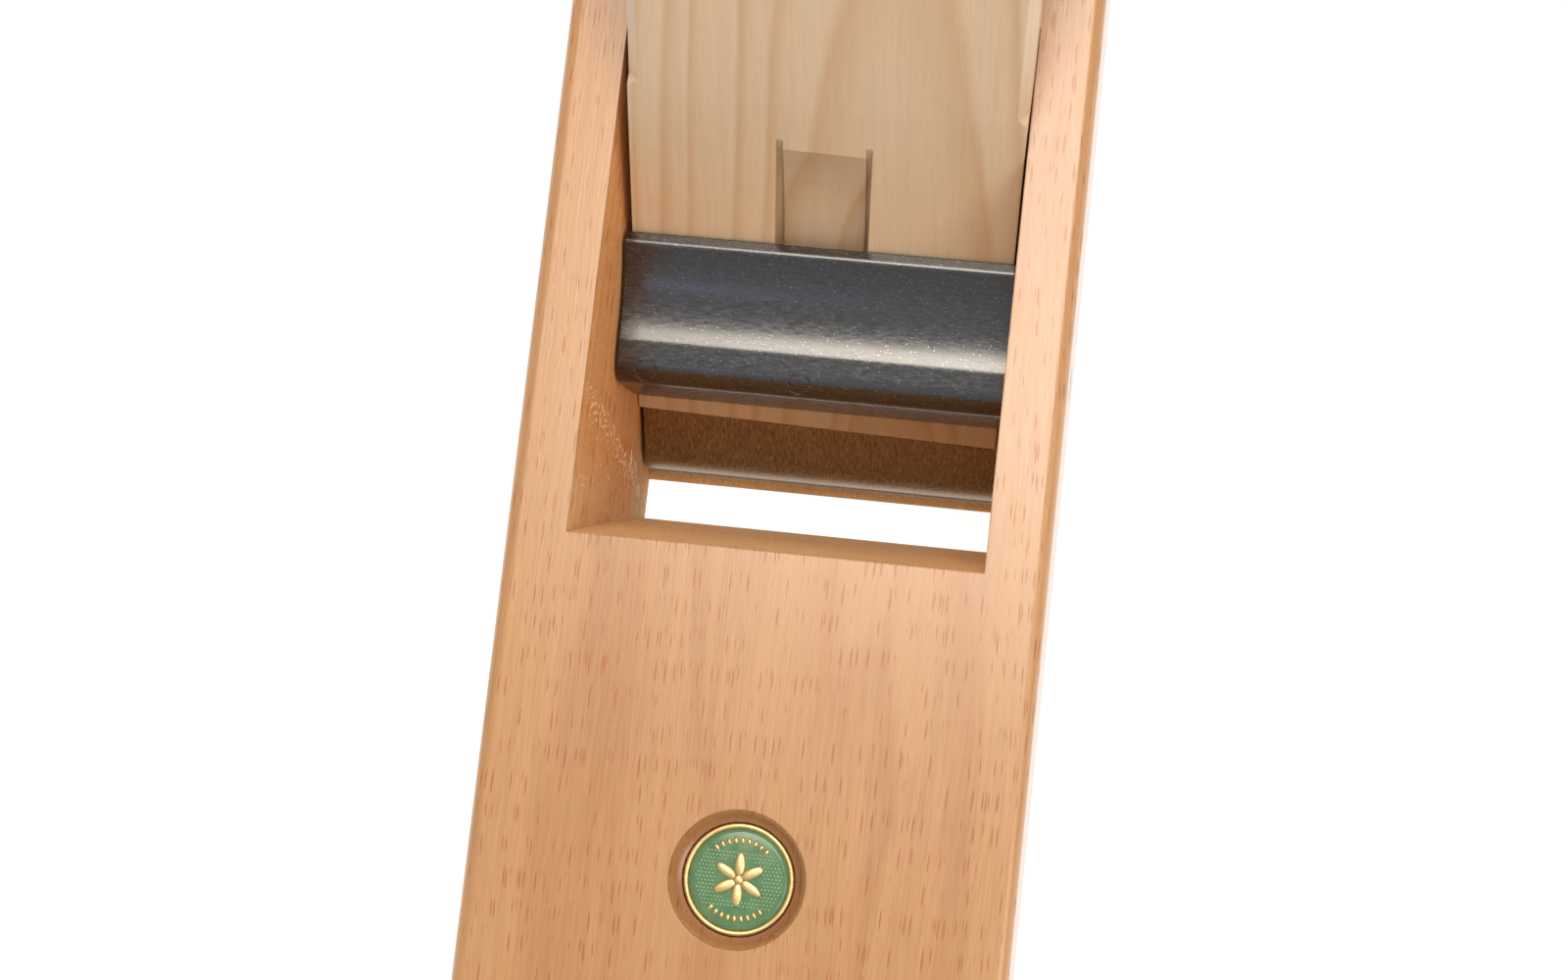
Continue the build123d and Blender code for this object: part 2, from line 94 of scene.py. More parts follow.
def throat_nap_and_painted_light(tree, place, body, rough, painted_fill_gain):
    """Wood inside the throat, sawn and chiselled, so rough, unwaxed and napped; its colour is painted
    lighter there as painted fill light, and darker in the badge's recess as painted shade.

    Gives the new colour and roughness, and how much wax there is."""
    offset = add(tree, "ShaderNodeVectorMath", {0: place, 1: throat_middle},
                 operation="SUBTRACT").outputs[0]
    apart = add(tree, "ShaderNodeVectorMath", {0: offset}, operation="ABSOLUTE").outputs[0]
    apart = add(tree, "ShaderNodeVectorMath", {0: apart, 1: throat_reach}, operation="DIVIDE").outputs[0]
    sides = add(tree, "ShaderNodeSeparateXYZ", {0: apart}).outputs
    far = add(tree, "ShaderNodeMath", {0: sides[0], 1: sides[1]}, operation="MAXIMUM").outputs[0]
    far = add(tree, "ShaderNodeMath", {0: far, 1: sides[2]}, operation="MAXIMUM").outputs[0]
    inside = add(tree, "ShaderNodeMath", {0: far, 1: 1.0}, operation="LESS_THAN").outputs[0]
    nap = grown_noise(tree, 0.35 * MM, 0.8 * MM, 3.0, place).outputs[0]
    nap = add(tree, "ShaderNodeMapRange", {
        "Value": nap, "From Min": 0.52, "From Max": 0.68, "To Min": 1.0, "To Max": 1.35}).outputs[0]
    # painted fill light: the throat's walls are painted lighter and warmer than the outside, standing in
    # for light bounced inside the throat
    painted_fill = [painted_fill_gain * part for part in (1.26, 1.23, 1.14)]
    painted_fill_on_nap = add(tree, "ShaderNodeVectorMath", {0: painted_fill, 1: nap}, operation="MULTIPLY").outputs[0]
    # the front wall cuts across the grain; towards it the painted fill light is painted paler and greyer
    # still
    at = add(tree, "ShaderNodeSeparateXYZ", {0: place}).outputs
    ahead = add(tree, "ShaderNodeMapRange", {"Value": at[0], "From Min": 90 * MM, "From Max": 98 * MM})
    paler_front_fill = add(tree, "ShaderNodeMix", {0: ahead.outputs[0], 6: (1, 1, 1, 1), 7: (1.0, 1.26, 1.65, 1)},
               data_type="RGBA").outputs[2]
    painted_fill_on_nap = add(tree, "ShaderNodeVectorMath", {0: painted_fill_on_nap, 1: paler_front_fill}, operation="MULTIPLY").outputs[0]
    painted_inside_fill = add(tree, "ShaderNodeMix", {0: inside, 6: (1, 1, 1, 1), 7: painted_fill_on_nap}, data_type="RGBA").outputs[2]
    body = add(tree, "ShaderNodeVectorMath", {0: body, 1: painted_inside_fill}, operation="MULTIPLY").outputs[0]
    rough = add(tree, "ShaderNodeMath", {0: inside, 1: 0.55, 2: rough},
                operation="MULTIPLY_ADD").outputs[0]
    waxed = add(tree, "ShaderNodeMath", {0: inside, 1: -wax, 2: wax},
                operation="MULTIPLY_ADD").outputs[0]
    # painted shade: the wood is painted darker and browner in the recess round the badge, where shade falls
    flat = add(tree, "ShaderNodeVectorMath", {0: place, 1: (1, 1, 0)}, operation="MULTIPLY").outputs[0]
    apart = add(tree, "ShaderNodeVectorMath", {0: flat, 1: (recess_middle, 0, 0)}, operation="DISTANCE")
    recess_shade = add(tree, "ShaderNodeMapRange", {
        "Value": apart.outputs["Value"], "From Min": 10.2 * MM, "From Max": 9.2 * MM}).outputs[0]
    below = add(tree, "ShaderNodeMath", {0: at[2], 1: throat_reach[2]}, operation="LESS_THAN").outputs[0]
    recess_shade = add(tree, "ShaderNodeMath", {0: recess_shade, 1: below}, operation="MULTIPLY").outputs[0]
    painted_recess_shade = add(tree, "ShaderNodeMix", {0: recess_shade, 6: (1, 1, 1, 1), 7: (0.66, 0.56, 0.42, 1)},
                data_type="RGBA").outputs[2]
    body = add(tree, "ShaderNodeVectorMath", {0: body, 1: painted_recess_shade}, operation="MULTIPLY").outputs[0]
    return body, rough, waxed


def planed_wood(name, light, dark, tick, turn=0.0, pith=(0.0, -0.11), cone=0.0, ring_gap=2.6 * MM,
                ring_depth=0.4, band_depth=0.55, streak_depth=0.08, ray_depth=0.8, seed=0.0,
                roughness=0.27, throat=0.0):
    """Wood with its grain along X, turned about Y: rings round a pith, rays, fibres and tone bands."""
    material, tree, shader = new_finish(name)
    place = add(tree, "ShaderNodeTexCoord").outputs["Object"]
    grain = add(tree, "ShaderNodeMapping", {
        "Vector": place, "Rotation": (0, turn, 0), "Location": (seed, 0, 0)}).outputs[0]
    # the grain wanders by a millimetre or two over a hand's length
    wander = grown_noise(tree, 26 * MM, 120 * MM, 2.0, grain).outputs["Color"]
    shift = add(tree, "ShaderNodeVectorMath", {0: wander, 1: (0.5, 0.5, 0.5)},
                operation="SUBTRACT").outputs[0]
    wood = add(tree, "ShaderNodeVectorMath", {0: shift, 1: (0, 6 * MM, 6 * MM), 2: grain},
               operation="MULTIPLY_ADD").outputs[0]
    # rings: the distance from the pith, counted in rings that are not all as wide
    axes = add(tree, "ShaderNodeSeparateXYZ", {0: wood}).outputs
    lift = add(tree, "ShaderNodeMath", {0: axes[0], 1: cone, 2: -pith[1]},
               operation="MULTIPLY_ADD").outputs[0]
    height = add(tree, "ShaderNodeMath", {0: axes[2], 1: lift}, operation="ADD").outputs[0]
    across = add(tree, "ShaderNodeMath", {0: axes[1], 1: -pith[0]}, operation="ADD").outputs[0]
    from_pith = add(tree, "ShaderNodeCombineXYZ", {0: across, 1: height}).outputs[0]
    radius = add(tree, "ShaderNodeVectorMath", {0: from_pith}, operation="LENGTH").outputs["Value"]
    count = add(tree, "ShaderNodeMath", {0: radius, 1: 1 / ring_gap}, operation="MULTIPLY").outputs[0]
    uneven = add(tree, "ShaderNodeTexNoise", {"W": count, "Scale": 0.45, "Detail": 1.0},
                 noise_dimensions="1D").outputs[0]
    count = add(tree, "ShaderNodeMath", {0: uneven, 1: 2.4, 2: count}, operation="MULTIPLY_ADD").outputs[0]
    part = add(tree, "ShaderNodeMath", {0: count}, operation="FRACT").outputs[0]
    # within a ring the wood darkens slowly, then faster, and is light again at the next spring
    late = add(tree, "ShaderNodeValToRGB", {0: part})
    ramp = late.color_ramp.elements
    ramp[0].color = ramp.new(1.0).color = (0, 0, 0, 1)
    ramp[1].position = 0.84
    ramp[1].color = (1, 1, 1, 1)
    ramp.new(0.5).color = (0.2, 0.2, 0.2, 1)
    # tone bands a finger wide, streaks of a millimetre, and fibres of a third of one, which are
    # several times as coarse as real ones, so that they show
    band = grown_noise(tree, 13 * MM, 150 * MM, 3.0, wood).outputs[0]
    streak = grown_noise(tree, 1.3 * MM, 45 * MM, 2.0, wood).outputs[0]
    fibre = grown_noise(tree, 0.33 * MM, 9 * MM, 2.0, wood).outputs[0]
    # rays: flat lenses two or three millimetres long, a little coarser than real, so that they show;
    # the gaps are from one ray to the next along the grain, across it and upwards
    ray_gap = (4.6 * MM, 0.36 * MM, 1.5 * MM)
    scale = [1 / gap for gap in ray_gap]
    cells = add(tree, "ShaderNodeMapping", {"Vector": wood, "Scale": scale}).outputs[0]
    rays = add(tree, "ShaderNodeTexVoronoi", {"Vector": cells, "Scale": 1.0}).outputs
    strong = add(tree, "ShaderNodeSeparateXYZ", {0: rays["Color"]}).outputs[0]
    reach = add(tree, "ShaderNodeMath", {0: strong, 1: 0.62, 2: -0.14}, operation="MULTIPLY_ADD").outputs[0]
    lens = add(tree, "ShaderNodeMath", {0: reach, 1: rays["Distance"]}, operation="SUBTRACT").outputs[0]
    lens = add(tree, "ShaderNodeMapRange", {
        "Value": lens, "From Min": 0.0, "From Max": 0.16, "To Min": 0.0, "To Max": ray_depth}).outputs[0]
    # colour: early wood to late wood, then the streaks, the fibres and the rays
    amount = add(tree, "ShaderNodeMath", {0: late.outputs[0], 1: ring_depth, 2: -0.38 * band_depth},
                 operation="MULTIPLY_ADD").outputs[0]
    amount = add(tree, "ShaderNodeMath", {0: band, 1: band_depth, 2: amount}, operation="MULTIPLY_ADD",
                 use_clamp=True).outputs[0]
    body = add(tree, "ShaderNodeMix", {0: amount, 6: linear(light), 7: linear(dark)},
               data_type="RGBA").outputs[2]
    both = add(tree, "ShaderNodeMath", {0: streak, 1: fibre}, operation="ADD").outputs[0]
    tone = add(tree, "ShaderNodeMapRange", {
        "Value": both, "From Min": 0.7, "From Max": 1.3, "To Min": 1.0 - streak_depth,
        "To Max": 1.0 + streak_depth}).outputs[0]
    body = add(tree, "ShaderNodeVectorMath", {0: body, 1: tone}, operation="MULTIPLY").outputs[0]
    body = add(tree, "ShaderNodeMix", {0: lens, 6: body, 7: linear(tick)}, data_type="RGBA").outputs[2]
    rough = add(tree, "ShaderNodeMapRange", {
        "Value": fibre, "From Min": 0.3, "From Max": 0.7, "To Min": roughness - 0.08,
        "To Max": roughness + 0.08}).outputs[0]
    # throat, when given, is how much lighter the throat's walls are painted, as painted fill light
    if throat:
        body, rough, waxed = throat_nap_and_painted_light(tree, place, body, rough, throat)
        tree.links.new(waxed, shader.inputs["Coat Weight"])
    else:
        shader.inputs["Coat Weight"].default_value = wax
    relief = add(tree, "ShaderNodeMath", {0: lens, 1: -0.6, 2: fibre}, operation="MULTIPLY_ADD").outputs[0]
    # sharp edges are eased with a plane stroke or sandpaper
    arris = add(tree, "ShaderNodeBevel", {"Radius": 0.35 * MM}, samples=4).outputs[0]
    bump = add(tree, "ShaderNodeBump", {
        "Height": relief, "Strength": 0.4, "Distance": 0.06 * MM, "Normal": arris}).outputs[0]
    tree.links.new(body, shader.inputs["Base Color"])
    tree.links.new(rough, shader.inputs["Roughness"])
    tree.links.new(bump, shader.inputs["Normal"])
    shader.inputs["Coat Roughness"].default_value = 0.22
    return material


def wear(node, material):
    """Gives a CAD node its finish."""
    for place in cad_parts[node].material_slots:
        place.material = material


# steaming turns beech from cream to this pinkish orange, with darker, browner rays
wear("stock", planed_wood("oiled steamed beech", "#BD8A58", "#A86D3A", "#A5561C", throat=1.26))

# ------------------------------------------------------------------------------------------
# Sole. A hornbeam slab glued under the stock, since it wears less. It is paler than beech,
# with closer rings and fainter rays.
# ------------------------------------------------------------------------------------------
wear("sole", planed_wood("planed hornbeam sole", "#C49D6F", "#AF8353", "#966335", seed=0.4,
                         ring_gap=1.8 * MM, ray_depth=0.35, throat=1.0))

# ------------------------------------------------------------------------------------------
# Tote. The closed handle, bandsawn from a beech board, rounded over and glued into the
# stock. The pith was to one side of the board, so the rings lie flat in it.
# ------------------------------------------------------------------------------------------
wear("tote", planed_wood("rounded beech handle", "#BF8D5E", "#A86F3F", "#8A4A1B", seed=1.3,
                         pith=(0.16, 0.0), roughness=0.34))

# ------------------------------------------------------------------------------------------
# Strike button. Turned from hornbeam with its grain upright, and let into the top near the
# toe. Hammer taps on it loosen the wedge.
# ------------------------------------------------------------------------------------------
wear("strike_button", planed_wood("turned hornbeam button", "#C4AD8A", "#A6855F", "#8A6A45", seed=2.1,
                                  turn=radians(90), ring_gap=1.6 * MM, ray_depth=0.3))

# ------------------------------------------------------------------------------------------
# Badge. A stamped brass dish whose field is filled with green enamel, domed and stippled.
# A rosette and two arcs of beads stand above the enamel in brass.
# ------------------------------------------------------------------------------------------
brass, tree, shader = new_finish("polished stamped brass")
# pale gold where it is rubbed, a little brown where polish has dried on it
place = add(tree, "ShaderNodeTexCoord").outputs["Object"]
tarnish = add(tree, "ShaderNodeTexNoise", {
    "Vector": place, "Scale": 1 / (0.9 * MM), "Detail": 4.0}).outputs[0]
gold = add(tree, "ShaderNodeMix", {0: tarnish, 6: linear("#F3DFA6"), 7: linear("#C59E58")},
           data_type="RGBA").outputs[2]
tree.links.new(gold, shader.inputs["Base Color"])
rub = add(tree, "ShaderNodeMapRange", {"Value": tarnish, "To Min": 0.3, "To Max": 0.5}).outputs[0]
tree.links.new(rub, shader.inputs["Roughness"])
shader.inputs["Metallic"].default_value = 1.0
wear("badge_dish", brass)

enamel, tree, shader = new_finish("green soft enamel")
# glass-hard and glossy: a deep green, clouded darker and paler at random
place = add(tree, "ShaderNodeTexCoord").outputs["Object"]
cloud = add(tree, "ShaderNodeTexNoise", {
    "Vector": place, "Scale": 1 / (1.6 * MM), "Detail": 3.0}).outputs[0]
green = add(tree, "ShaderNodeMix", {0: cloud, 6: linear("#3F6A46"), 7: linear("#6B8E62")},
            data_type="RGBA").outputs[2]
tree.links.new(green, shader.inputs["Base Color"])
gloss = add(tree, "ShaderNodeMapRange", {"Value": cloud, "To Min": 0.08, "To Max": 0.18}).outputs[0]
tree.links.new(gloss, shader.inputs["Roughness"])

dot_enamel_painted_highlight, tree, shader = new_finish("paler dot enamel with painted highlight")
# a paler green on the tops of the dots: painted highlight, standing in for the glints that the tiny glossy
# dots catch
shader.inputs["Base Color"].default_value = linear("#93B089")
shader.inputs["Roughness"].default_value = 0.15

field_low, field_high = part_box("badge_enamel")
middle_x = (field_low[0] + field_high[0]) / 2
middle_y = (field_low[1] + field_high[1]) / 2
field_radius = (field_high[0] - field_low[0]) / 2
edge_level = field_high[2] - 0.05 * MM
dome_height = 0.3 * MM


def dome_level(distance):
    """The enamel's height at a distance from the badge's middle."""
    return edge_level + dome_height * (1 - (distance / field_radius) ** 2)


def keep_piece(name, shape, material, body):
    """Keeps a finished bmesh as a piece on a body, with its material and slot."""
    mesh = bpy.data.meshes.new(name)
    shape.to_mesh(mesh)
    shape.free()
    mesh.materials.append(material)
    piece = bpy.data.objects.new(name, mesh)
    bpy.context.scene.collection.objects.link(piece)
    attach(piece, body)
    return piece


field = bmesh.new()
spokes = 96
steps = 12
loops = []
for step in range(1, steps + 1):
    distance = field_radius * step / steps
    loops.append([field.verts.new((middle_x + distance * cos(2 * pi * k / spokes),
                                   middle_y + distance * sin(2 * pi * k / spokes),
                                   dome_level(distance))) for k in range(spokes)])
loops.append([field.verts.new((rim.co.x, rim.co.y, field_low[2])) for rim in loops[-1]])
crown = field.verts.new((middle_x, middle_y, dome_level(0)))
for k in range(spokes):
    after = (k + 1) % spokes
    field.faces.new((crown, loops[0][k], loops[0][after]))
    for inner, outer in zip(loops, loops[1:]):
        field.faces.new((inner[k], outer[k], outer[after], inner[after]))
field.faces.new(list(reversed(loops[-1])))
for face in field.faces:
    face.smooth = len(face.verts) < spokes
enamel_field = keep_piece("enamel_field", field, enamel, "body")
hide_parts("badge_enamel")


def geometry_tree(name, sockets):
    """An empty geometry tree with named inputs; gives the tree, its inputs and their identifiers."""
    tree = bpy.data.node_groups.new(name, "GeometryNodeTree")
    tree.interface.new_socket("Geometry", in_out="OUTPUT", socket_type="NodeSocketGeometry")
    keys = {}
    for label, kind in sockets.items():
        socket = tree.interface.new_socket(label, in_out="INPUT", socket_type="NodeSocket" + kind)
        keys[label] = socket.identifier
    return tree, add(tree, "NodeGroupInput").outputs, keys


def close_tree(tree, points, grain, size, rotation, material):
    """Ends a geometry tree: a grain on every point, made real, smooth and of one material."""
    laid = add(tree, "GeometryNodeInstanceOnPoints", {
        "Points": points, "Instance": grain, "Rotation": rotation, "Scale": size}).outputs[0]
    real = add(tree, "GeometryNodeRealizeInstances", {0: laid}).outputs[0]
    smooth = add(tree, "GeometryNodeSetShadeSmooth", {"Geometry": real}).outputs[0]
    finished = add(tree, "GeometryNodeSetMaterial", {"Geometry": smooth, "Material": material}).outputs[0]
    add(tree, "NodeGroupOutput", {0: finished})


def lay(name, tree, keys, values, body):
    """Runs a geometry tree with those values, and keeps the result as a plain mesh on a body."""
    piece = bpy.data.objects.new(name, bpy.data.meshes.new(name))
    bpy.context.scene.collection.objects.link(piece)
    modifier = piece.modifiers.new(tree.name, "NODES")
    modifier.node_group = tree
    for label, value in values.items():
        modifier[keys[label]] = value
    bpy.context.view_layer.update()
    made = piece.evaluated_get(bpy.context.evaluated_depsgraph_get())
    shape = bpy.data.meshes.new_from_object(made)
    piece.modifiers.remove(modifier)
    piece.data = shape
    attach(piece, body)


# stippled ground: rows of dots on the dome, each row half a step along, round the rosette
stipple, given, keys = geometry_tree("stippled ground", {
    "Middle": "Vector", "Step": "Float", "Rows": "Int", "Reach": "Float", "Clear": "Float", "Side": "Float",
    "Dome": "Float", "Field": "Float", "Dot": "Float", "Material": "Material"})
width = add(stipple, "ShaderNodeMath", {0: given["Step"], 1: given["Rows"]},
            operation="MULTIPLY").outputs[0]
grid = add(stipple, "GeometryNodeMeshGrid", {
    "Size X": width, "Size Y": width, "Vertices X": given["Rows"], "Vertices Y": given["Rows"]}).outputs[0]
spot = add(stipple, "GeometryNodeInputPosition").outputs[0]
parts = add(stipple, "ShaderNodeSeparateXYZ", {0: spot}).outputs
index = add(stipple, "GeometryNodeInputIndex").outputs[0]
row = add(stipple, "ShaderNodeMath", {0: index, 1: given["Rows"]}, operation="DIVIDE").outputs[0]
row = add(stipple, "ShaderNodeMath", {0: row}, operation="FLOOR").outputs[0]
odd = add(stipple, "ShaderNodeMath", {0: row, 1: 2.0}, operation="MODULO").outputs[0]
half_step = add(stipple, "ShaderNodeMath", {0: given["Step"], 1: 0.5}, operation="MULTIPLY").outputs[0]
along = add(stipple, "ShaderNodeMath", {0: odd, 1: half_step}, operation="MULTIPLY").outputs[0]
along = add(stipple, "ShaderNodeCombineXYZ", {1: along}).outputs[0]
grid = add(stipple, "GeometryNodeSetPosition", {"Geometry": grid, "Offset": along}).outputs[0]
# dots that would meet the rim, the rosette or the beads are left out
distance = add(stipple, "ShaderNodeVectorMath", {0: spot}, operation="LENGTH").outputs["Value"]
beyond = add(stipple, "ShaderNodeMath", {0: distance, 1: given["Reach"]},
             operation="GREATER_THAN").outputs[0]
within = add(stipple, "ShaderNodeMath", {0: distance, 1: given["Clear"]},
             operation="LESS_THAN").outputs[0]
aside = add(stipple, "ShaderNodeMath", {0: parts[0]}, operation="ABSOLUTE").outputs[0]
aside = add(stipple, "ShaderNodeMath", {0: aside, 1: given["Side"]}, operation="GREATER_THAN").outputs[0]
drop = add(stipple, "ShaderNodeMath", {0: beyond, 1: within}, operation="MAXIMUM").outputs[0]
drop = add(stipple, "ShaderNodeMath", {0: drop, 1: aside}, operation="MAXIMUM").outputs[0]
grid = add(stipple, "GeometryNodeDeleteGeometry", {"Geometry": grid, "Selection": drop}).outputs[0]
# the rest is lifted onto the dome
share = add(stipple, "ShaderNodeMath", {0: distance, 1: given["Field"]}, operation="DIVIDE").outputs[0]
share = add(stipple, "ShaderNodeMath", {0: share, 1: share}, operation="MULTIPLY").outputs[0]
fall = add(stipple, "ShaderNodeMath", {0: 1.0, 1: share}, operation="SUBTRACT").outputs[0]
rise = add(stipple, "ShaderNodeMath", {0: fall, 1: given["Dome"]}, operation="MULTIPLY").outputs[0]
rise = add(stipple, "ShaderNodeCombineXYZ", {2: rise}).outputs[0]
rise = add(stipple, "ShaderNodeVectorMath", {0: rise, 1: given["Middle"]}, operation="ADD").outputs[0]
grid = add(stipple, "GeometryNodeSetPosition", {"Geometry": grid, "Offset": rise}).outputs[0]
dot = add(stipple, "GeometryNodeMeshUVSphere", {
    "Segments": 8, "Rings": 4, "Radius": given["Dot"]}).outputs[0]
close_tree(stipple, grid, dot, (1, 1, 0.7), (0, 0, 0), given["Material"])
lay("badge_stipple", stipple, keys, {
    "Middle": (middle_x, middle_y, edge_level), "Step": 0.52 * MM, "Rows": 27, "Reach": 6.3 * MM,
    "Clear": 3.3 * MM, "Side": 4.3 * MM, "Dome": dome_height, "Field": field_radius, "Dot": 0.17 * MM,
    "Material": dot_enamel_painted_highlight}, "body")

# raised brass: a rosette of six petals, an arc of beads above and below it, and a boss
ring, given, keys = geometry_tree("raised ring", {
    "Middle": "Vector", "Count": "Int", "Radius": "Float", "Keep": "Float", "Size": "Vector",
    "Material": "Material"})
loop = add(ring, "GeometryNodeMeshCircle", {
    "Vertices": given["Count"], "Radius": given["Radius"]}).outputs[0]
spot = add(ring, "GeometryNodeInputPosition").outputs[0]
parts = add(ring, "ShaderNodeSeparateXYZ", {0: spot}).outputs
aside = add(ring, "ShaderNodeMath", {0: parts[0]}, operation="ABSOLUTE").outputs[0]
drop = add(ring, "ShaderNodeMath", {0: aside, 1: given["Keep"]}, operation="LESS_THAN").outputs[0]
angle = add(ring, "ShaderNodeMath", {0: parts[1], 1: parts[0]}, operation="ARCTAN2").outputs[0]
turned = add(ring, "GeometryNodeCaptureAttribute", {"Geometry": loop})
turned.capture_items.new("FLOAT", "angle")
ring.links.new(angle, turned.inputs[1])
loop = add(ring, "GeometryNodeDeleteGeometry", {
    "Geometry": turned.outputs[0], "Selection": drop}).outputs[0]
loop = add(ring, "GeometryNodeSetPosition", {"Geometry": loop, "Offset": given["Middle"]}).outputs[0]
facing = add(ring, "ShaderNodeCombineXYZ", {2: turned.outputs[1]}).outputs[0]
bead = add(ring, "GeometryNodeMeshUVSphere", {"Segments": 16, "Rings": 8, "Radius": 1.0}).outputs[0]
close_tree(ring, loop, bead, given["Size"], facing, given["Material"])
lay("badge_petals", ring, keys, {
    "Middle": (middle_x, middle_y, dome_level(1.9 * MM)), "Count": 6, "Radius": 2.2 * MM, "Keep": 0.0,
    "Size": (1.8 * MM, 0.8 * MM, 0.28 * MM), "Material": brass}, "body")
lay("badge_beads", ring, keys, {
    "Middle": (middle_x, middle_y, dome_level(5.7 * MM)), "Count": 36, "Radius": 5.6 * MM, "Keep": 4.2 * MM,
    "Size": (0.55 * MM, 0.34 * MM, 0.26 * MM), "Material": brass}, "body")
boss_radius = 0.75 * MM
boss_height = 0.34 * MM
boss = bmesh.new()
spokes = 24
steps = 12
poles = [boss.verts.new((middle_x, middle_y, dome_level(0) + lift * boss_height)) for lift in (1, -1)]
loops = []
for step in range(1, steps):
    down = pi * step / steps
    loops.append([boss.verts.new((middle_x + boss_radius * sin(down) * cos(2 * pi * k / spokes),
                                  middle_y + boss_radius * sin(down) * sin(2 * pi * k / spokes),
                                  dome_level(0) + boss_height * cos(down))) for k in range(spokes)])
for k in range(spokes):
    after = (k + 1) % spokes
    boss.faces.new((poles[0], loops[0][k], loops[0][after]))
    for upper, lower in zip(loops, loops[1:]):
        boss.faces.new((upper[k], lower[k], lower[after], upper[after]))
    boss.faces.new((poles[1], loops[-1][after], loops[-1][k]))
for face in boss.faces:
    face.smooth = True
keep_piece("badge_boss", boss, brass, "body")

# ------------------------------------------------------------------------------------------
# Double iron. The cutting iron is ground bright; the chip breaker on it was left dark from
# hardening and oiled. The cap screw, turned on a lathe, holds them together.
# ------------------------------------------------------------------------------------------


def worked_metal(name, colour, roughness, lines=(1.0, 1.0, 1.0), line_depth=0.5, line_shade=0.15,
                 speck=0.5 * MM, speck_depth=0.5, turn=0.0):
    """Metal with tool lines, their widths in millimetres, and with specks of grit or scale.

    Both are coarser than real ones, so that they show."""
    material, tree, shader = new_finish(name)
    place = add(tree, "ShaderNodeTexCoord").outputs["Object"]
    laid = add(tree, "ShaderNodeMapping", {"Vector": place, "Rotation": (0, turn, 0)}).outputs[0]
    scale = [1 / (width * MM) for width in lines]
    laid = add(tree, "ShaderNodeMapping", {"Vector": laid, "Scale": scale}).outputs[0]
    line = add(tree, "ShaderNodeTexNoise", {"Vector": laid, "Scale": 1.0, "Detail": 3.0}).outputs[0]
    dots = add(tree, "ShaderNodeTexVoronoi", {"Vector": place, "Scale": 1 / speck}).outputs
    chance = add(tree, "ShaderNodeSeparateXYZ", {0: dots["Color"]}).outputs[0]
    size = add(tree, "ShaderNodeMath", {0: chance, 1: 0.34}, operation="MULTIPLY").outputs[0]
    dot = add(tree, "ShaderNodeMapRange", {
        "Value": dots["Distance"], "From Min": size, "From Max": 0.0, "To Min": 0.0,
        "To Max": 1.0}).outputs[0]
    rough = add(tree, "ShaderNodeMapRange", {
        "Value": line, "From Min": 0.3, "From Max": 0.7, "To Min": roughness - 0.06,
        "To Max": roughness + 0.08}).outputs[0]
    shade = add(tree, "ShaderNodeMapRange", {
        "Value": line, "From Min": 0.3, "From Max": 0.7, "To Min": 1 - line_shade,
        "To Max": 1 + line_shade}).outputs[0]
    shade = add(tree, "ShaderNodeMath", {0: dot, 1: speck_depth * 2.5, 2: shade},
                operation="MULTIPLY_ADD").outputs[0]
    body = add(tree, "ShaderNodeVectorMath", {0: linear(colour)[:3], 1: shade},
               operation="MULTIPLY").outputs[0]
    relief = add(tree, "ShaderNodeMath", {0: line, 1: line_depth}, operation="MULTIPLY").outputs[0]
    relief = add(tree, "ShaderNodeMath", {0: dot, 1: speck_depth, 2: relief},
                 operation="MULTIPLY_ADD").outputs[0]
    arris = add(tree, "ShaderNodeBevel", {"Radius": 0.25 * MM}, samples=4).outputs[0]
    bump = add(tree, "ShaderNodeBump", {
        "Height": relief, "Strength": 0.5, "Distance": 0.02 * MM, "Normal": arris}).outputs[0]
    tree.links.new(body, shader.inputs["Base Color"])
    tree.links.new(rough, shader.inputs["Roughness"])
    tree.links.new(bump, shader.inputs["Normal"])
    shader.inputs["Metallic"].default_value = 1.0
    return material


bed_slope = radians(-45)
# long lines down the iron from the grinding wheel
wear("cutting_iron", worked_metal("ground tool steel", "#A9A7A2", 0.32, lines=(12, 0.25, 0.25),
                                  turn=bed_slope))
# a brown, speckled skin with short scratches
wear("chip_breaker", worked_metal("oiled spring steel", "#9A8570", 0.36, lines=(1.3, 0.3, 0.3),
                                  line_shade=0.4, speck=0.4 * MM, speck_depth=0.8, turn=bed_slope))
# an even grey shine, a little mottled by handling
wear("cap_screw", worked_metal("turned screw steel", "#8E8A84", 0.3))

# ------------------------------------------------------------------------------------------
# Wedge. Hornbeam, sawn to a seven degree taper, with a groove plunged by a round cutter.
# It was never oiled, so it is the palest piece; its wide rings slope through the face.
# ------------------------------------------------------------------------------------------
wear("wedge", planed_wood("planed hornbeam wedge", "#D3B794", "#C1986C", "#A77C52", seed=0.75,
                          turn=radians(-52), pith=(0.012, -0.03), cone=-0.12, ring_gap=4.5 * MM,
                          ring_depth=0.62, band_depth=0.3, streak_depth=0.04, ray_depth=0.1,
                          roughness=0.45))

# ------------------------------------------------------------------------------------------
# Abutment bar. A dark die casting that rocks on a steel pin across the throat. Its
# skin is smooth with fine bright specks, and two ejector pins left faint rings on it.
# ------------------------------------------------------------------------------------------
casting = worked_metal("dark die casting", "#605F5E", 0.25, lines=(0.25, 1.6, 0.25), line_depth=0.04,
                       line_shade=0.16, speck=0.5 * MM, speck_depth=0.9)
wear("abutment_bar", casting)
# drawn through a die, so that fine bright lines run along it
wear("abutment_pin", worked_metal("drawn pin steel", "#98948E", 0.3, lines=(0.2, 20, 0.2)))

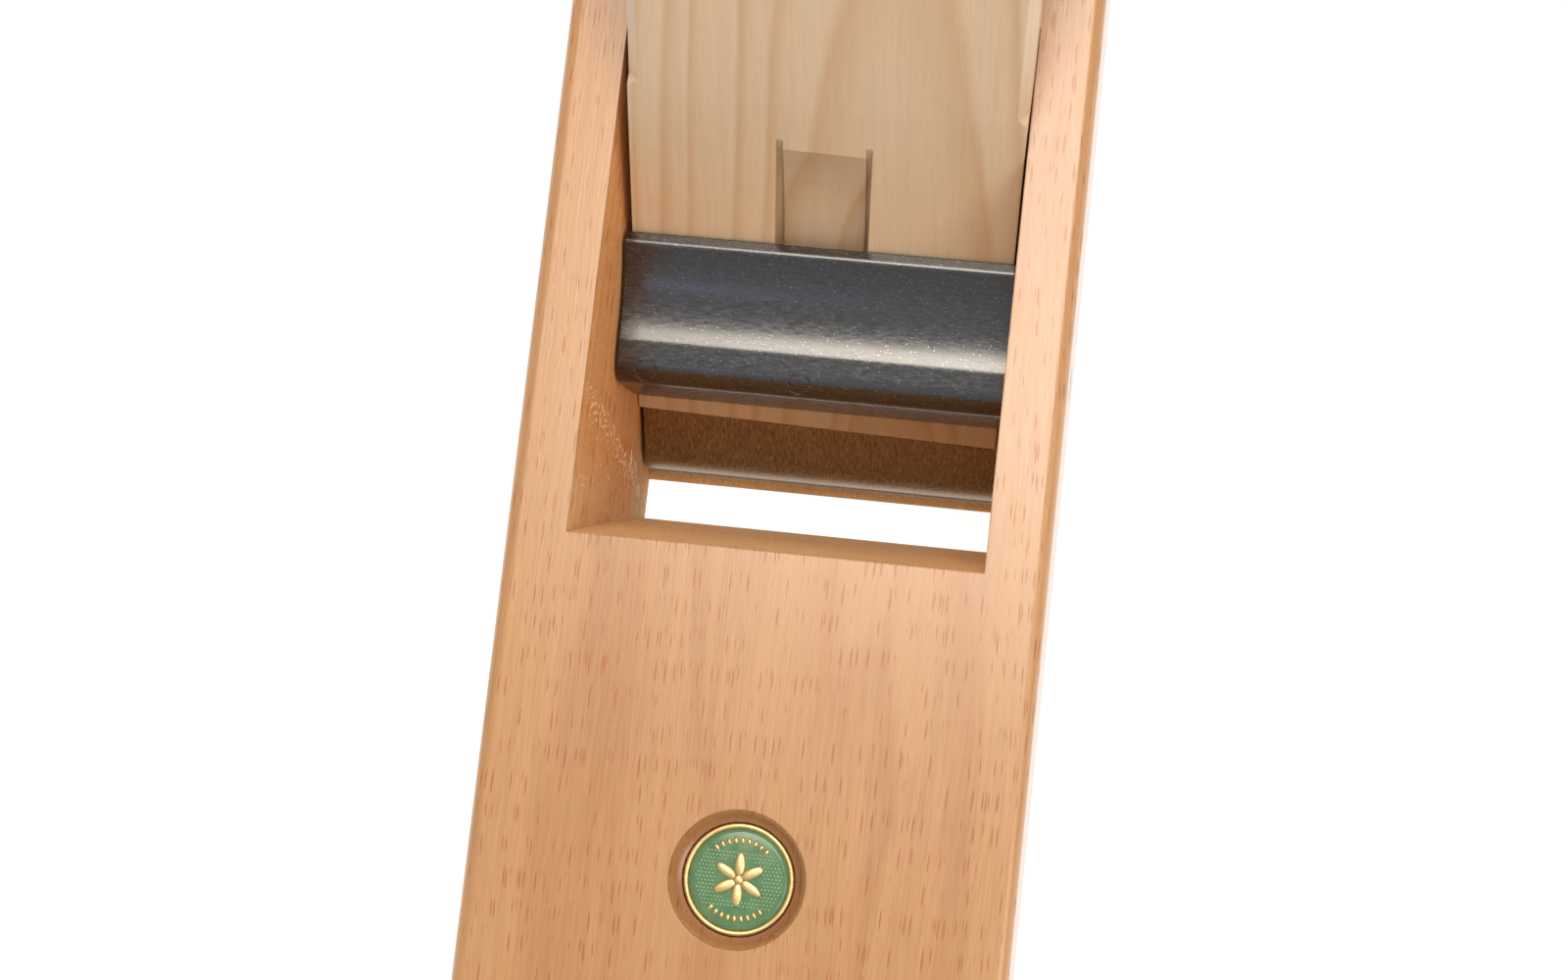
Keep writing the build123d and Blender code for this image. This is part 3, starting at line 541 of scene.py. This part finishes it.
# the rings lie on the bar's front, which leans ten degrees
mark_middles = ((76.9 * MM, -1.5 * MM, 44.53 * MM), (77.0 * MM, -25.6 * MM, 44.51 * MM))
mark_radius = 1.6 * MM
mark_width = 0.09 * MM
mark_height = 0.05 * MM
face_turn = Matrix.Rotation(radians(10), 3, "Y")
around_steps = 48
lean_steps = 6
for number, middle in enumerate(mark_middles):
    mark = bmesh.new()
    around = []
    for step in range(around_steps):
        turn = 2 * pi * step / around_steps
        spot = []
        for lean in range(lean_steps):
            swing = 2 * pi * lean / lean_steps
            out = mark_radius + mark_width * cos(swing)
            corner = Vector((out * cos(turn), out * sin(turn), mark_height * sin(swing)))
            spot.append(mark.verts.new(Vector(middle) + face_turn @ corner))
        around.append(spot)
    for step in range(around_steps):
        this = around[step]
        after = around[(step + 1) % around_steps]
        for lean in range(lean_steps):
            beside = (lean + 1) % lean_steps
            mark.faces.new((this[lean], after[lean], after[beside], this[beside])).smooth = True
    bmesh.ops.recalc_face_normals(mark, faces=mark.faces)
    keep_piece(f"ejector_mark_{number + 1}", mark, casting, "bar")

# ------------------------------------------------------------------------------------------
# Torn fibres. Shavings that rub past have raised the grain of one of the throat's walls, in
# a band down to the mouth, with longer shreds at its foot and a fine nap ahead of it.
# ------------------------------------------------------------------------------------------
fluff, tree, shader = new_finish("torn beech fibre")
# dry and unoiled, so paler than the wood it came from
shader.inputs["Base Color"].default_value = linear("#F4E2C2")
shader.inputs["Roughness"].default_value = 0.8

fibres, given, keys = geometry_tree("scattered fibres", {
    "Start": "Vector", "End": "Vector", "Count": "Int", "Scatter": "Vector", "Size": "Vector",
    "Lean": "Vector", "Swing": "Vector", "Seed": "Int", "Material": "Material"})
row = add(fibres, "GeometryNodeMeshLine", {
    "Count": given["Count"], "Start Location": given["Start"], "Offset": given["End"]},
    mode="END_POINTS").outputs[0]
back = add(fibres, "ShaderNodeVectorMath", {0: given["Scatter"], "Scale": -1.0},
           operation="SCALE").outputs[0]
shift = add(fibres, "FunctionNodeRandomValue", {
    "Min": back, "Max": given["Scatter"], "Seed": given["Seed"]}, data_type="FLOAT_VECTOR").outputs[0]
row = add(fibres, "GeometryNodeSetPosition", {"Geometry": row, "Offset": shift}).outputs[0]
back = add(fibres, "ShaderNodeVectorMath", {0: given["Swing"], "Scale": -1.0},
           operation="SCALE").outputs[0]
after = add(fibres, "ShaderNodeMath", {0: given["Seed"], 1: 1.0}, operation="ADD").outputs[0]
swing = add(fibres, "FunctionNodeRandomValue", {
    "Min": back, "Max": given["Swing"], "Seed": after}, data_type="FLOAT_VECTOR").outputs[0]
swing = add(fibres, "ShaderNodeVectorMath", {0: swing, 1: given["Lean"]}, operation="ADD").outputs[0]
grow = add(fibres, "FunctionNodeRandomValue", {"Min": 0.35, "Max": 1.0, "Seed": after},
           data_type="FLOAT").outputs[1]
size = add(fibres, "ShaderNodeVectorMath", {0: given["Size"], "Scale": grow}, operation="SCALE").outputs[0]
shred = add(fibres, "GeometryNodeMeshUVSphere", {"Segments": 5, "Rings": 4, "Radius": 0.5}).outputs[0]
close_tree(fibres, row, shred, size, swing, given["Material"])
worn_wall = -30.7 * MM
lay("torn_fibres", fibres, keys, {
    "Start": (83.5 * MM, worn_wall, 60 * MM), "End": (91 * MM, worn_wall, 17 * MM), "Count": 170,
    "Scatter": (1.7 * MM, 0.08 * MM, 4 * MM), "Size": (0.9 * MM, 0.15 * MM, 0.15 * MM), "Lean": (0, 0.9, 0),
    "Swing": (0, 1.4, 0.12), "Seed": 3, "Material": fluff}, "body")
lay("torn_fibres_mouth", fibres, keys, {
    "Start": (88.5 * MM, worn_wall, 20 * MM), "End": (94.8 * MM, worn_wall, 1.5 * MM), "Count": 90,
    "Scatter": (1.5 * MM, 0.1 * MM, 1.5 * MM), "Size": (3.2 * MM, 0.17 * MM, 0.17 * MM),
    "Lean": (0, 1.1, 0), "Swing": (0, 0.7, 0.1), "Seed": 8, "Material": fluff}, "body")
lay("wall_nap", fibres, keys, {
    "Start": (92 * MM, worn_wall, 60 * MM), "End": (95 * MM, worn_wall, 6 * MM), "Count": 110,
    "Scatter": (6 * MM, 0.05 * MM, 4 * MM), "Size": (0.7 * MM, 0.1 * MM, 0.1 * MM), "Lean": (0, 0.5, 0),
    "Swing": (0, 1.5, 0.1), "Seed": 21, "Material": fluff}, "body")

# ------------------------------------------------------------------------------------------
# Stage. A pale floor that glows like a light table, a large softbox overhead, one to the
# side, a small cool window ahead, and a soft sky.
# ------------------------------------------------------------------------------------------
floor_reach = 6.0
floor_mesh = bpy.data.meshes.new("floor")
floor_mesh.from_pydata([(-floor_reach, -floor_reach, 0), (floor_reach, -floor_reach, 0),
                        (floor_reach, floor_reach, 0), (-floor_reach, floor_reach, 0)], [], [(0, 1, 2, 3)])
floor = bpy.data.objects.new("floor", floor_mesh)
bpy.context.scene.collection.objects.link(floor)
light_table, tree, shader = new_finish("light table acrylic")
# milky plastic lit from below: an even white with a faint shadow
shader.inputs["Base Color"].default_value = (0.35, 0.35, 0.35, 1)
shader.inputs["Roughness"].default_value = 0.9
shader.inputs["Emission Color"].default_value = (1, 1, 1, 1)
shader.inputs["Emission Strength"].default_value = 0.88
floor_mesh.materials.append(light_table)


def softbox(name, at, aim, size, power, colour):
    """A square area light at a point, turned to another."""
    data = bpy.data.lights.new(name, "AREA")
    data.size = size
    data.energy = power
    data.color = linear(colour)[:3]
    lamp = bpy.data.objects.new(name, data)
    bpy.context.scene.collection.objects.link(lamp)
    lamp.location = at
    lamp.rotation_euler = (Vector(aim) - Vector(at)).to_track_quat("-Z", "Y").to_euler()


softbox("overhead softbox", (-0.28, 0.05, 1.3), (0.08, 0, 0.05), 0.65, 10.8, "#FFF5E8")
softbox("side softbox", (0.42, 0.85, 1.1), (0.07, 0, 0.04), 0.7, 5.2, "#FFF9F0")
softbox("far window", (0.68, -0.23, 1.05), (0.07, 0, 0.05), 0.07, 0.09, "#B4CAFF")
# a sky that is a little brighter overhead, as in a white room
world = bpy.data.worlds.new("studio")
world.use_nodes = True
tree = world.node_tree
direction = add(tree, "ShaderNodeTexCoord").outputs["Generated"]
upward = add(tree, "ShaderNodeSeparateXYZ", {0: direction}).outputs[2]
glow = add(tree, "ShaderNodeMapRange", {
    "Value": upward, "From Min": 0.3, "From Max": 1.0, "To Min": 0.56, "To Max": 0.7}).outputs[0]
tree.nodes["Background"].inputs["Color"].default_value = linear("#EDF1F7")
tree.links.new(glow, tree.nodes["Background"].inputs["Strength"])
bpy.context.scene.world = world
bpy.context.scene.view_settings.view_transform = "Standard"

# from above, close over the throat
camera = bpy.data.objects.new("camera", bpy.data.cameras.new("camera"))
bpy.context.scene.collection.objects.link(camera)
camera.location = (136.69 * MM, 44.31 * MM, 429.59 * MM)
camera.rotation_euler = (radians(7.0752), radians(6.0965), radians(96.385))
camera.data.lens = 58.249
camera.data.clip_start = 10 * MM
bpy.context.scene.camera = camera
